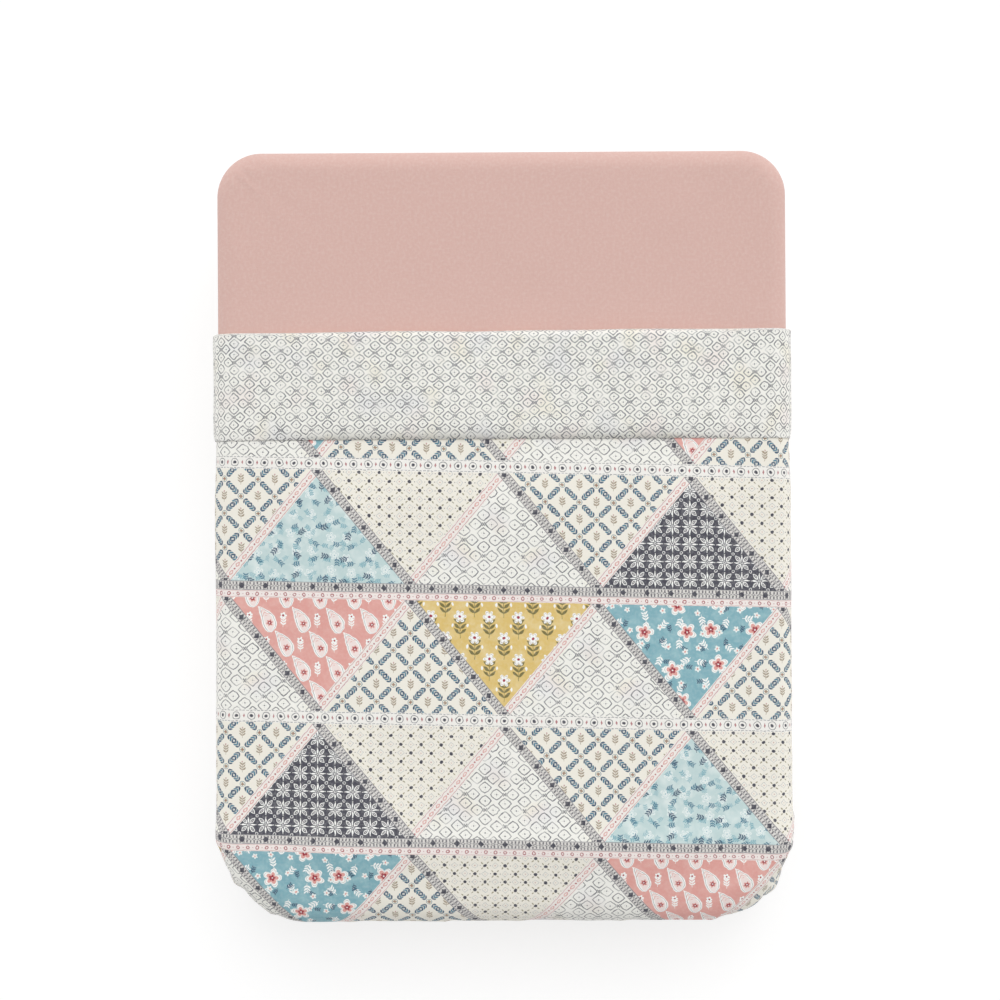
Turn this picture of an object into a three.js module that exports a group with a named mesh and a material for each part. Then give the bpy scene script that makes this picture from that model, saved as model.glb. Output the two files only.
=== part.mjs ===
// A duvet cover with its filling, lying on a plain bed. It hangs over the foot and both sides. At the head it
// is turned back, so that its reverse shows.
// Millimetres. +X is across the bed, +Y runs to the head and +Z is up. The origin is on the floor below the
// middle of the bed.
import * as THREE from 'three';

// The bed: a base and a mattress, both with round edges, and rounder corners at the foot than at the head
const BASE = { width: 1500, length: 2000, height: 230, footCorner: 220, headCorner: 105, edge: 12 };
const MATTRESS = { width: 1530, length: 2030, height: 300, footCorner: 235, headCorner: 120, edge: 55 };
const SEAT_GAP = 0.3;
const CORNER_STEPS = 5;
const EDGE_STEPS = 6;

// The cover as it is sewn flat: both panels are this size, and the seamed rim is thin
const COVER = { width: 2100, length: 2100, rim: 4, rimTaper: 70, drawnIn: 12 };

// How thick the filled cover is: over the bed, under and in the turn-back, over the foot's edge, and where it
// hangs
const FILL = { crown: 34, turnback: 20, footEdge: 7, foot: 13, side: 8, turnbackSide: 4, lump: 0.1 };
// Where the filling thins: towards a side, towards the foot's edge, and below that edge
const THINNING = { side: -320, foot: -115, footEdge: 20, footHang: 160 };
const LUMPS = [
  { across: 610, along: 740, phase: 0.4, share: 0.5 },
  { across: -390, along: 450, phase: 1.9, share: 0.3 },
  { across: 270, along: -310, phase: 4.1, share: 0.2 },
];

// How the cover bends over the mattress: the radius of its reverse over a side and over the foot
const ROLL = { side: 53, foot: 85 };
// How far the reverse lies above the mattress on the flat, and around the edges
const LIFT = { flat: SEAT_GAP, edge: 2.5, from: -80, to: -20 };

// The turn-back: where the fold starts, where its hem ends, and the space between the two layers
const TURNBACK = { foldStart: 506, hem: 239, gap: 3, zone: 100 };
// How far towards the head the fold's thinner ends lie, and how far it slants from one side to the other
const FOLD = { ease: 17, slant: 3 };
// How far from the reverse the cloth's length is measured in each layer
const MIDDLE = { lower: 8, upper: 20 };

// Hanging folds round the edge. at: place along the edge from the middle of the foot, to the right if
// positive. out: how far the fold stands out from the edge once it hangs free. Minus is inward.
const HANG = { ease: 150, cornerSpan: 300 };
const HANGING_FOLDS = [
  { name: 'left side, head', at: -2145, halfWidth: 210, out: 13 },
  { name: 'left side, middle', at: -1765, halfWidth: 190, out: 24 },
  { name: 'left side, foot', at: -1385, halfWidth: 210, out: 16 },
  { name: 'left corner, side flute', at: -990, halfWidth: 140, out: 50 },
  { name: 'left corner, ear', at: -780, halfWidth: 115, out: 82 },
  { name: 'left corner, foot flute', at: -590, halfWidth: 120, out: 54 },
  { name: 'foot, left', at: -370, halfWidth: 160, out: 30 },
  { name: 'foot, middle', at: -60, halfWidth: 190, out: -22 },
  { name: 'foot, right', at: 260, halfWidth: 170, out: 34 },
  { name: 'right corner, foot flute', at: 565, halfWidth: 130, out: 48 },
  { name: 'right corner, ear', at: 770, halfWidth: 150, out: 92 },
  { name: 'right corner, side flute', at: 950, halfWidth: 140, out: 58 },
  { name: 'right side, foot', at: 1315, halfWidth: 200, out: 20 },
  { name: 'right side, middle', at: 1665, halfWidth: 180, out: 14 },
  { name: 'right side, head', at: 2045, halfWidth: 220, out: 22 },
];

const FINISH = {
  cover: { color: '#dfe0d8', roughness: 0.85, metalness: 0 },
  sheet: { color: '#d6a79f', roughness: 0.85, metalness: 0 },
  base: { color: '#d9d4ca', roughness: 0.9, metalness: 0 },
};

// Levels and places that follow from the sizes above
const MATTRESS_BOTTOM = BASE.height + SEAT_GAP;
const MATTRESS_TOP = MATTRESS_BOTTOM + MATTRESS.height;
const QUARTER_TURN = Math.PI / 2;

// The part of the cover that lies flat is the mattress outline less the side roll, open to the head
const FLAT = {
  centreX: MATTRESS.width / 2 - MATTRESS.footCorner,
  centreY: -(MATTRESS.length / 2 - MATTRESS.footCorner),
  corner: MATTRESS.footCorner - ROLL.side,
};
const FLAT_HALF_WIDTH = FLAT.centreX + FLAT.corner;
const FLAT_FOOT = FLAT.centreY - FLAT.corner;

// Where along the cover's length, from the foot hem, the fold starts and ends
const FOLD_LENGTH = QUARTER_TURN * (FILL.turnback + TURNBACK.gap);
const FOLD_END = COVER.length - (TURNBACK.foldStart - TURNBACK.hem);
const FOLD_BEGIN = FOLD_END - FOLD_LENGTH;
const FOOT_HEM = TURNBACK.foldStart - FOLD_BEGIN;

const mix = (from, to, share) => from + (to - from) * share;
const smooth = (value, from, to) => THREE.MathUtils.smoothstep(value, from, to);

// Lines of the cover's mesh, from the middle to a side hem and from the foot hem to the head hem
const COLUMN_SPANS = [
  { name: 'middle', to: FLAT.centreX, steps: 4 },
  { name: 'near the edge', to: FLAT_HALF_WIDTH, steps: 8 },
  { name: 'roll', to: FLAT_HALF_WIDTH + QUARTER_TURN * (ROLL.side + MIDDLE.lower), steps: 6 },
  { name: 'hanging', to: COVER.width / 2 - COVER.rimTaper, steps: 6 },
  { name: 'rim', to: COVER.width / 2, steps: 4 },
];
const ROW_SPANS = [
  { name: 'foot rim', to: COVER.rimTaper, steps: 4 },
  { name: 'hanging', to: FLAT_FOOT - FOOT_HEM - QUARTER_TURN * (ROLL.foot + MIDDLE.lower), steps: 4 },
  { name: 'foot roll', to: FLAT_FOOT - FOOT_HEM, steps: 7 },
  { name: 'near the foot', to: FLAT.centreY - FOOT_HEM, steps: 8 },
  { name: 'middle', to: FOLD_BEGIN, steps: 9 },
  { name: 'fold', to: FOLD_END, steps: 8 },
  { name: 'turn-back', to: COVER.length - COVER.rimTaper, steps: 4 },
  { name: 'head rim', to: COVER.length, steps: 4 },
];

function lines(spans) {
  const values = [0];
  let start = 0;
  for (const { to, steps } of spans) {
    for (let step = 1; step <= steps; step += 1) {
      values.push(mix(start, to, step / steps));
    }
    start = to;
  }
  return values;
}

// Where a point of the cloth, laid out flat over the bed, is against the flat part's outline
function edgePlace(across, along) {
  const side = Math.sign(across);
  const pastX = Math.abs(across) - FLAT.centreX;
  const pastY = FLAT.centreY - along;
  const outX = Math.max(pastX, 0);
  const outY = Math.max(pastY, 0);
  const reach = Math.hypot(outX, outY);
  const normal = reach > 0 ? { x: (side * outX) / reach, y: -outY / reach } : { x: 0, y: 0 };
  const footX = across - side * outX;
  const footY = along + outY;
  return {
    distance: reach + Math.min(Math.max(pastX, pastY), 0) - FLAT.corner,
    normal,
    rim: { x: footX + normal.x * FLAT.corner, y: footY + normal.y * FLAT.corner },
    round: side * (Math.abs(footX) + HANG.cornerSpan * Math.atan2(outX, outY) + footY - FLAT.centreY),
  };
}

// How far the hanging cloth stands out at one place round the edge, this far below the roll
function hangingFold(round, drop) {
  let out = 0;
  for (const fold of HANGING_FOLDS) {
    const away = Math.min(Math.abs(round - fold.at) / fold.halfWidth, 1);
    out += fold.out * 0.5 * (1 + Math.cos(Math.PI * away));
  }
  return (out * drop * drop) / (drop * drop + HANG.ease * HANG.ease);
}

// A point this far off the reverse's own surface: flat on the bed, round its edge, or hanging below it
function drape(across, along, offset, middle) {
  const place = edgePlace(across, along);
  const lift = mix(LIFT.flat, LIFT.edge, smooth(place.distance, LIFT.from, LIFT.to));
  const height = lift + offset;
  if (place.distance <= 0) {
    return [across, along, MATTRESS_TOP + height];
  }
  const { normal, rim } = place;
  const radius = Math.hypot(ROLL.side * normal.x, ROLL.foot * normal.y);
  const quarter = QUARTER_TURN * (radius + middle);
  const turn = QUARTER_TURN * Math.min(place.distance / quarter, 1);
  const drop = Math.max(place.distance - quarter, 0);
  const out = (radius + height) * Math.sin(turn) + hangingFold(place.round, drop);
  const down = radius - (radius + height) * Math.cos(turn) + drop;
  return [rim.x + normal.x * out, rim.y + normal.y * out, MATTRESS_TOP - down];
}

function lumps(across, along) {
  let sum = 0;
  for (const { across: wide, along: long, phase, share } of LUMPS) {
    sum += share * Math.sin((2 * Math.PI * across) / wide + (2 * Math.PI * along) / long + phase);
  }
  return sum;
}

// The filled cover's thickness where it lies, thinned to the seamed rim
function thickness(across, along, toRim) {
  const pastSide = Math.abs(across) - FLAT_HALF_WIDTH;
  const pastFoot = FLAT_FOOT - along;
  const turned = smooth(along, TURNBACK.hem - TURNBACK.zone, TURNBACK.hem);
  const lying = mix(FILL.crown, FILL.turnback, turned) * (1 + FILL.lump * lumps(across, along));
  const overSide = mix(FILL.side, FILL.turnbackSide, turned);
  const toSide = mix(lying, overSide, smooth(pastSide, THINNING.side, 0));
  const toFoot = mix(toSide, FILL.footEdge, smooth(pastFoot, THINNING.foot, THINNING.footEdge));
  const full = mix(toFoot, FILL.foot, smooth(pastFoot, THINNING.footEdge, THINNING.footHang));
  const bare = 1 - Math.min(toRim / COVER.rimTaper, 1);
  return mix(COVER.rim, full, 1 - bare * bare);
}

// Keeps the fold straight across the bed, though its ends are thinner than its middle
function foldEase(across, fromFold) {
  const nearSide = smooth(Math.abs(across) - FLAT_HALF_WIDTH, THINNING.side, 0);
  const shift = FOLD.ease * nearSide + (FOLD.slant * across) / FLAT_HALF_WIDTH;
  return shift * (1 - smooth(fromFold, 0, TURNBACK.foldStart - TURNBACK.hem));
}

// Both faces of the cover at a place on the flat cloth: the front, and the reverse
function bothFaces(fromMiddle, fromFoot) {
  const halfWidth = COVER.width / 2;
  const sideShare = fromMiddle / halfWidth;
  const lengthShare = (fromFoot - COVER.length / 2) / (COVER.length / 2);
  const across = fromMiddle - sideShare * COVER.drawnIn * (1 - lengthShare * lengthShare);
  const shrink = 1 - (COVER.drawnIn / COVER.length) * (1 - sideShare * sideShare);
  const toRim = Math.min(halfWidth - Math.abs(fromMiddle), fromFoot, COVER.length - fromFoot);

  if (fromFoot <= FOLD_BEGIN) {
    const before = FOLD_BEGIN - fromFoot;
    const along = TURNBACK.foldStart + foldEase(across, before) - before * shrink;
    const thick = thickness(across, along, toRim);
    return {
      front: drape(across, along, thick, MIDDLE.lower),
      reverse: drape(across, along, 0, MIDDLE.lower),
    };
  }
  if (fromFoot >= FOLD_END) {
    const after = fromFoot - FOLD_END;
    const along = TURNBACK.foldStart + foldEase(across, after) - after * shrink;
    const lower = thickness(across, along, halfWidth - Math.abs(fromMiddle));
    const underside = lower + TURNBACK.gap;
    return {
      front: drape(across, along, underside, MIDDLE.upper),
      reverse: drape(across, along, underside + thickness(across, along, toRim), MIDDLE.upper),
    };
  }
  const turn = (Math.PI * (fromFoot - FOLD_BEGIN)) / FOLD_LENGTH;
  const foldStart = TURNBACK.foldStart + foldEase(across, 0);
  const thick = thickness(across, foldStart, toRim);
  const inside = TURNBACK.gap / 2;
  const middle = mix(MIDDLE.lower, MIDDLE.upper, 0.5 - 0.5 * Math.cos(turn));
  const onFold = (radius) => drape(
    across,
    foldStart + radius * Math.sin(turn),
    thick + inside - radius * Math.cos(turn),
    middle,
  );
  return { front: onFold(inside), reverse: onFold(inside + thick) };
}

// One closed mesh: the front face, the reverse face, and the rim that joins them
function coverGeometry() {
  const half = lines(COLUMN_SPANS);
  const columns = [...half.slice(1).map((value) => -value).reverse(), ...half];
  const rows = lines(ROW_SPANS);
  const perFace = columns.length * rows.length;
  const corners = new Float32Array(perFace * 2 * 3);
  const triangles = [];
  const quad = (a, b, c, d) => triangles.push(a, b, c, a, c, d);
  const front = (row, column) => row * columns.length + column;
  const reverse = (row, column) => perFace + front(row, column);

  rows.forEach((fromFoot, row) => {
    columns.forEach((fromMiddle, column) => {
      const faces = bothFaces(fromMiddle, fromFoot);
      corners.set(faces.front, 3 * front(row, column));
      corners.set(faces.reverse, 3 * reverse(row, column));
    });
  });

  const lastRow = rows.length - 1;
  const lastColumn = columns.length - 1;
  for (let row = 0; row < lastRow; row += 1) {
    for (let column = 0; column < lastColumn; column += 1) {
      const [right, up] = [column + 1, row + 1];
      quad(front(row, column), front(row, right), front(up, right), front(up, column));
      quad(reverse(row, column), reverse(up, column), reverse(up, right), reverse(row, right));
    }
  }
  for (let row = 0; row < lastRow; row += 1) {
    const up = row + 1;
    quad(front(row, 0), front(up, 0), reverse(up, 0), reverse(row, 0));
    quad(front(up, lastColumn), front(row, lastColumn), reverse(row, lastColumn), reverse(up, lastColumn));
  }
  for (let column = 0; column < lastColumn; column += 1) {
    const right = column + 1;
    quad(front(0, right), front(0, column), reverse(0, column), reverse(0, right));
    quad(front(lastRow, column), front(lastRow, right), reverse(lastRow, right), reverse(lastRow, column));
  }

  const geometry = new THREE.BufferGeometry();
  geometry.setAttribute('position', new THREE.BufferAttribute(corners, 3));
  geometry.setIndex(triangles);
  geometry.computeVertexNormals();
  return geometry;
}

// A block with round corners in plan and round edges, standing on z = 0
function blockGeometry({ width, length, height, footCorner, headCorner, edge }) {
  const [right, head] = [width / 2, length / 2];
  const outline = new THREE.Shape();
  outline.absarc(right - headCorner, head - headCorner, headCorner, 0, QUARTER_TURN);
  outline.absarc(headCorner - right, head - headCorner, headCorner, QUARTER_TURN, Math.PI);
  outline.absarc(footCorner - right, footCorner - head, footCorner, Math.PI, Math.PI + QUARTER_TURN);
  outline.absarc(right - footCorner, footCorner - head, footCorner, Math.PI + QUARTER_TURN, 2 * Math.PI);
  const geometry = new THREE.ExtrudeGeometry(outline, {
    depth: height - 2 * edge,
    curveSegments: CORNER_STEPS,
    bevelSegments: EDGE_STEPS,
    bevelThickness: edge,
    bevelSize: edge,
    bevelOffset: -edge,
  });
  return geometry.translate(0, 0, edge);
}

function piece(name, geometry, finish) {
  const mesh = new THREE.Mesh(geometry, new THREE.MeshStandardMaterial(finish));
  mesh.name = name;
  return mesh;
}

const base = piece('bed_base', blockGeometry(BASE), FINISH.base);
const mattress = piece('mattress', blockGeometry(MATTRESS), FINISH.sheet);
mattress.position.z = MATTRESS_BOTTOM;
const cover = piece('duvet_cover', coverGeometry(), FINISH.cover);

const bed = new THREE.Group();
bed.add(base, mattress, cover);

export default bed;
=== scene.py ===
"""A filled duvet cover lying on a plain bed and turned back at the head.

Metres, in the bed's own frame: +X across the bed, +Y to the head, +Z up, the floor at z = 0.
"""
import math
from functools import partialmethod

import bmesh
import bpy
import numpy as np
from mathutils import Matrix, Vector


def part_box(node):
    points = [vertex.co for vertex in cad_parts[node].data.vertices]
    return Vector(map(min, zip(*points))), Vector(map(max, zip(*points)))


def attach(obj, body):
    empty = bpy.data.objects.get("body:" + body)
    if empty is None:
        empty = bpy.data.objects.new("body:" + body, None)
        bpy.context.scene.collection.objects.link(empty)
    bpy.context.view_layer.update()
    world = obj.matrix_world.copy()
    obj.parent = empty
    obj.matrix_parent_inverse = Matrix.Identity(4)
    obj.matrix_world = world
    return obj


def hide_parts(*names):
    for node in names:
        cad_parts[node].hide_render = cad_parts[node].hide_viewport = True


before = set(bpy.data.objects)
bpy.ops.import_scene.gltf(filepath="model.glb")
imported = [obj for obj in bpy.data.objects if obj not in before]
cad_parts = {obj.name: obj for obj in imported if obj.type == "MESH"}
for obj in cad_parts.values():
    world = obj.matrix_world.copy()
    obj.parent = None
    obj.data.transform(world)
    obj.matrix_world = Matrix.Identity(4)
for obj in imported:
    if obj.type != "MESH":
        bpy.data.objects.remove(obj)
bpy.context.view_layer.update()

# The bed: its boxes from the frame, and its round corners and edges as in the solids
MATTRESS_LOW, MATTRESS_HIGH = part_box("mattress")
BASE_LOW, BASE_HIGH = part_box("bed_base")
MATTRESS_TOP = MATTRESS_HIGH.z
MATTRESS_FOOT_CORNER = 0.235
MATTRESS_HEAD_CORNER = 0.120
MATTRESS_EDGE = 0.055
BASE_FOOT_CORNER = 0.220
BASE_HEAD_CORNER = 0.105
BASE_EDGE = 0.012

# The cover as it is sewn flat, and how thick its filling makes it
COVER = 2.100
SEAM_ZONE = 0.012
RIM_TAPER = 0.070
RIM_BLUNTNESS = 6
DRAWN_IN = 0.012
FILL_CROWN = 0.034
FILL_TURNBACK = 0.020
FILL_FOOT_EDGE = 0.007
FILL_FOOT = 0.013
FILL_SIDE = 0.008
FILL_TURNBACK_SIDE = 0.004
# Where the filling thins, measured outwards from the edge of the part that lies flat
THINNING_SIDE = (-0.320, 0.0)
THINNING_FOOT = (-0.115, 0.020)
THINNING_FOOT_HANG = (0.020, 0.160)
# Where it swells or sinks: along the foot, measured the same way, and at the right foot corner
FOOT_SWELLS = [
    {"at": -0.130, "width": 0.050, "height": 0.0060},
    {"at": 0.030, "width": 0.040, "height": -0.0030},
]
CORNER_SWELL = {"across": 0.704, "along": -1.048, "width": 0.060, "height": 0.0100}
# Low lumps in the filling. Each: wave length across and along, phase, share
FILL_LUMP = 0.1
LUMPS = [
    (0.610, 0.740, 0.4, 0.5),
    (-0.390, 0.450, 1.9, 0.3),
    (0.270, -0.310, 4.1, 0.2),
]

# How the cover bends over the mattress, and how far its reverse lies off it
ROLL_SIDE = 0.053
ROLL_FOOT = 0.085
LIFT_FLAT = 0.0003
LIFT_EDGE = 0.0025
LIFT_ZONE = (-0.080, -0.020)

# The turn-back, and where the cloth below it turns thinner and loses its creases
FOLD_START = 0.506
TURNBACK_HEM = 0.239
TURNBACK_GAP = 0.003
TURNBACK_ZONE = (TURNBACK_HEM - 0.180, TURNBACK_HEM)
COVERED_ZONE = (TURNBACK_HEM - 0.060, TURNBACK_HEM - 0.020)
FOLD_EASE = 0.017
FOLD_SLANT = 0.003
# How far the middle of each layer lies off the bed where it bends over the edge
MIDDLE_LOWER = 0.008
MIDDLE_UPPER = 0.020

# Hanging folds round the edge. Each: its place from the middle of the foot, to the right if positive,
# its half width, and how far it stands out
HANG_EASE = 0.150
CORNER_SPAN = 0.300
HANGING_FOLDS = [
    (-2.145, 0.210, 0.013),
    (-1.765, 0.190, 0.024),
    (-1.385, 0.210, 0.016),
    (-0.990, 0.140, 0.050),
    (-0.780, 0.115, 0.082),
    (-0.590, 0.120, 0.054),
    (-0.370, 0.160, 0.030),
    (-0.060, 0.190, -0.022),
    (0.260, 0.170, 0.034),
    (0.565, 0.130, 0.048),
    (0.722, 0.075, 0.020),
    (0.770, 0.150, 0.092),
    (0.950, 0.140, 0.058),
    (1.315, 0.200, 0.020),
    (1.665, 0.180, 0.014),
    (2.045, 0.220, 0.022),
]

# Small unevenness: soft swells, puckers along the seam, and the shape of a crease across its width
SWELLS = [
    {"height": 0.0012, "size": 0.16, "seed": 3},
    {"height": 0.0008, "size": 0.06, "seed": 7},
]
PUCKER = {"height": 0.0018, "reach": 0.030, "size": 0.022, "seed": 11}
CREASE_BOW = 0.03
TROUGH_PLACE = 1.6
TROUGH_WIDTH = 1.5
TROUGH_DEPTH = 0.6

# Soft creases, in the cloth's flat measure from the middle of the foot hem: start, end, width, height
CREASES = [
    ((-0.62, 0.52), (-0.30, 0.40), 0.016, 0.0022),
    ((0.44, 0.46), (0.71, 0.58), 0.018, 0.0024),
    ((-0.16, 0.37), (0.10, 0.42), 0.020, 0.0018),
    ((-0.70, 1.02), (-0.48, 1.10), 0.022, 0.0016),
    ((0.52, 1.27), (0.72, 1.18), 0.020, 0.0018),
    ((-0.44, 1.97), (-0.20, 1.90), 0.015, 0.0018),
    ((0.25, 1.89), (0.50, 1.96), 0.016, 0.0020),
    ((-0.78, 0.63), (-1.03, 0.58), 0.015, 0.0038),
    ((-0.79, 0.86), (-1.02, 0.90), 0.021, 0.0030),
    ((-0.77, 1.06), (-1.04, 1.04), 0.013, 0.0034),
    ((-0.80, 1.27), (-1.02, 1.23), 0.024, 0.0028),
    ((-0.78, 1.46), (-1.03, 1.50), 0.016, 0.0036),
    ((-0.79, 1.98), (-1.02, 1.95), 0.014, 0.0016),
    ((0.79, 0.57), (1.03, 0.61), 0.017, 0.0036),
    ((0.78, 0.78), (1.02, 0.75), 0.014, 0.0032),
    ((0.80, 0.98), (1.03, 1.02), 0.023, 0.0028),
    ((0.77, 1.21), (1.02, 1.18), 0.015, 0.0036),
    ((0.79, 1.42), (1.04, 1.40), 0.020, 0.0030),
    ((0.78, 1.94), (1.02, 1.97), 0.015, 0.0016),
    ((-0.66, 0.40), (-0.92, 0.10), 0.018, 0.0048),
    ((-0.72, 0.47), (-1.00, 0.30), 0.015, 0.0042),
    ((-0.56, 0.34), (-0.70, 0.05), 0.016, 0.0040),
    ((0.65, 0.41), (0.95, 0.12), 0.017, 0.0050),
    ((0.71, 0.49), (1.01, 0.36), 0.016, 0.0040),
    ((0.55, 0.33), (0.66, 0.04), 0.018, 0.0042),
    ((-0.38, 0.26), (-0.42, 0.03), 0.019, 0.0034),
    ((-0.15, 0.27), (-0.12, 0.02), 0.015, 0.0030),
    ((0.07, 0.26), (0.04, 0.03), 0.022, 0.0034),
    ((0.33, 0.27), (0.36, 0.02), 0.016, 0.0032),
]

# Places and lengths that follow from the sizes above
QUARTER_TURN = math.pi / 2
FULL_TURN = 2 * math.pi
FLAT_CENTRE_X = MATTRESS_HIGH.x - MATTRESS_FOOT_CORNER
FLAT_CENTRE_Y = MATTRESS_LOW.y + MATTRESS_FOOT_CORNER
FLAT_CORNER = MATTRESS_FOOT_CORNER - ROLL_SIDE
FLAT_HALF_WIDTH = FLAT_CENTRE_X + FLAT_CORNER
FLAT_FOOT = FLAT_CENTRE_Y - FLAT_CORNER
FOLD_LENGTH = QUARTER_TURN * (FILL_TURNBACK + TURNBACK_GAP)
FOLD_END = COVER - (FOLD_START - TURNBACK_HEM)
FOLD_BEGIN = FOLD_END - FOLD_LENGTH
FOLD_INSIDE = TURNBACK_GAP / 2

NOISE_CELLS = 128
NOISE_SHIFT = 5
NEVER_ZERO = 1e-9


def mix(start, end, share):
    return start + (end - start) * share


def smooth(value, start, end):
    share = np.clip((value - start) / (end - start), 0, 1)
    return share * share * (3 - 2 * share)


def bump(off, width):
    """A smooth bump that is 1 in its middle."""
    return np.exp(-((off / width) ** 2))


def soft_noise(x, y, size, seed):
    """Smooth noise from -1 to 1, with bumps of about this size."""
    cells = np.random.default_rng(seed).uniform(-1, 1, (NOISE_CELLS, NOISE_CELLS))
    column, row = np.floor(x / size), np.floor(y / size)
    right, up = x / size - column, y / size - row
    right, up = smooth(right, 0, 1), smooth(up, 0, 1)
    column, row = (value.astype(int) % (NOISE_CELLS - 1) for value in (column, row))
    lower = mix(cells[column, row], cells[column + 1, row], right)
    upper = mix(cells[column, row + 1], cells[column + 1, row + 1], right)
    return mix(lower, upper, up)


# The cover's drape


def edge_place(across, along):
    """Distance past the edge of the flat part, its normal, nearest point and place round it."""
    side = np.sign(across)
    past_x = np.abs(across) - FLAT_CENTRE_X
    past_y = FLAT_CENTRE_Y - along
    out_x, out_y = np.maximum(past_x, 0), np.maximum(past_y, 0)
    reach = np.hypot(out_x, out_y)
    distance = reach + np.minimum(np.maximum(past_x, past_y), 0) - FLAT_CORNER
    normal_x = side * out_x / np.maximum(reach, NEVER_ZERO)
    normal_y = -out_y / np.maximum(reach, NEVER_ZERO)
    foot_x, foot_y = across - side * out_x, along + out_y
    round_corner = CORNER_SPAN * np.arctan2(out_x, out_y)
    place_round = side * (np.abs(foot_x) + round_corner + foot_y - FLAT_CENTRE_Y)
    rim = foot_x + normal_x * FLAT_CORNER, foot_y + normal_y * FLAT_CORNER
    return distance, (normal_x, normal_y), rim, place_round


def hanging_fold(place_round, drop):
    """How far the hanging cloth stands out at this drop below the bed's edge."""
    out = np.zeros_like(drop)
    for place, half_width, most in HANGING_FOLDS:
        away = np.minimum(np.abs(place_round - place) / half_width, 1)
        out += most * 0.5 * (1 + np.cos(math.pi * away))
    return out * drop**2 / (drop**2 + HANG_EASE**2)


def drape(across, along, offset, middle):
    """Points this far off the reverse's own surface: on the bed, round its edge, or hanging below it."""
    distance, (normal_x, normal_y), (rim_x, rim_y), place_round = edge_place(across, along)
    height = offset + mix(LIFT_FLAT, LIFT_EDGE, smooth(distance, *LIFT_ZONE))
    radius = np.hypot(ROLL_SIDE * normal_x, ROLL_FOOT * normal_y)
    quarter = QUARTER_TURN * (radius + middle)
    turn = QUARTER_TURN * np.clip(distance / quarter, 0, 1)
    drop = np.maximum(distance - quarter, 0)
    out = (radius + height) * np.sin(turn) + hanging_fold(place_round, drop)
    down = radius - (radius + height) * np.cos(turn) + drop
    lies = distance <= 0
    x = np.where(lies, across, rim_x + normal_x * out)
    y = np.where(lies, along, rim_y + normal_y * out)
    z = MATTRESS_TOP + np.where(lies, height, -down)
    return np.stack([x, y, z], axis=-1)


def thickness(across, along, to_rim):
    """How thick the filling makes the cover, down to nothing at its seam."""
    lumps = 0
    for wave_across, wave_along, phase, share in LUMPS:
        waves = across / wave_across + along / wave_along
        lumps = lumps + share * np.sin(FULL_TURN * waves + phase)
    at_head = smooth(along, *TURNBACK_ZONE)
    lying = mix(FILL_CROWN, FILL_TURNBACK, at_head) * (1 + FILL_LUMP * lumps)
    over_side = mix(FILL_SIDE, FILL_TURNBACK_SIDE, at_head)
    past_side = np.abs(across) - FLAT_HALF_WIDTH
    past_foot = FLAT_FOOT - along
    full = mix(lying, over_side, smooth(past_side, *THINNING_SIDE))
    full = mix(full, FILL_FOOT_EDGE, smooth(past_foot, *THINNING_FOOT))
    full = mix(full, FILL_FOOT, smooth(past_foot, *THINNING_FOOT_HANG))
    for swell in FOOT_SWELLS:
        full = full + swell["height"] * bump(past_foot - swell["at"], swell["width"])
    from_swell = np.hypot(across - CORNER_SWELL["across"], along - CORNER_SWELL["along"])
    full = full + CORNER_SWELL["height"] * bump(from_swell, CORNER_SWELL["width"])
    bare = 1 - np.clip(to_rim / RIM_TAPER, 0, 1)
    return full * (1 - bare**RIM_BLUNTNESS)


def relief(from_middle, from_foot, to_rim):
    """The small unevenness of the cloth: soft swells, creases, and puckers along the seam."""
    rise = np.zeros_like(from_middle)
    for swell in SWELLS:
        noise = soft_noise(from_middle + NOISE_SHIFT, from_foot, swell["size"], swell["seed"])
        rise += swell["height"] * noise
    for start, end, width, height in CREASES:
        span = np.subtract(end, start)
        reach = np.linalg.norm(span)
        along_x, along_y = span / reach
        right, up = from_middle - start[0], from_foot - start[1]
        share = np.clip((right * along_x + up * along_y) / reach, 0, 1)
        off = up * along_x - right * along_y + CREASE_BOW * np.sin(math.pi * share)
        trough = bump(off - TROUGH_PLACE * width, TROUGH_WIDTH * width)
        across_it = bump(off, width) - TROUGH_DEPTH * trough
        rise += height * np.sin(math.pi * share) ** 2 * across_it
    along_seam = np.where(np.abs(from_middle) > np.abs(from_foot - COVER / 2), from_foot, from_middle)
    noise = soft_noise(along_seam + NOISE_SHIFT, to_rim, PUCKER["size"], PUCKER["seed"])
    pucker = PUCKER["height"] * np.exp(-to_rim / PUCKER["reach"]) * noise
    return (rise + pucker) * smooth(to_rim, 0, SEAM_ZONE)


def fold_ease(across, from_fold):
    """Carries the thinner ends of the fold towards the head, so it lies straight across the bed."""
    near_side = smooth(np.abs(across) - FLAT_HALF_WIDTH, *THINNING_SIDE)
    slant = FOLD_SLANT * across / FLAT_HALF_WIDTH
    return (FOLD_EASE * near_side + slant) * (1 - smooth(from_fold, 0, FOLD_START - TURNBACK_HEM))


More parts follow.
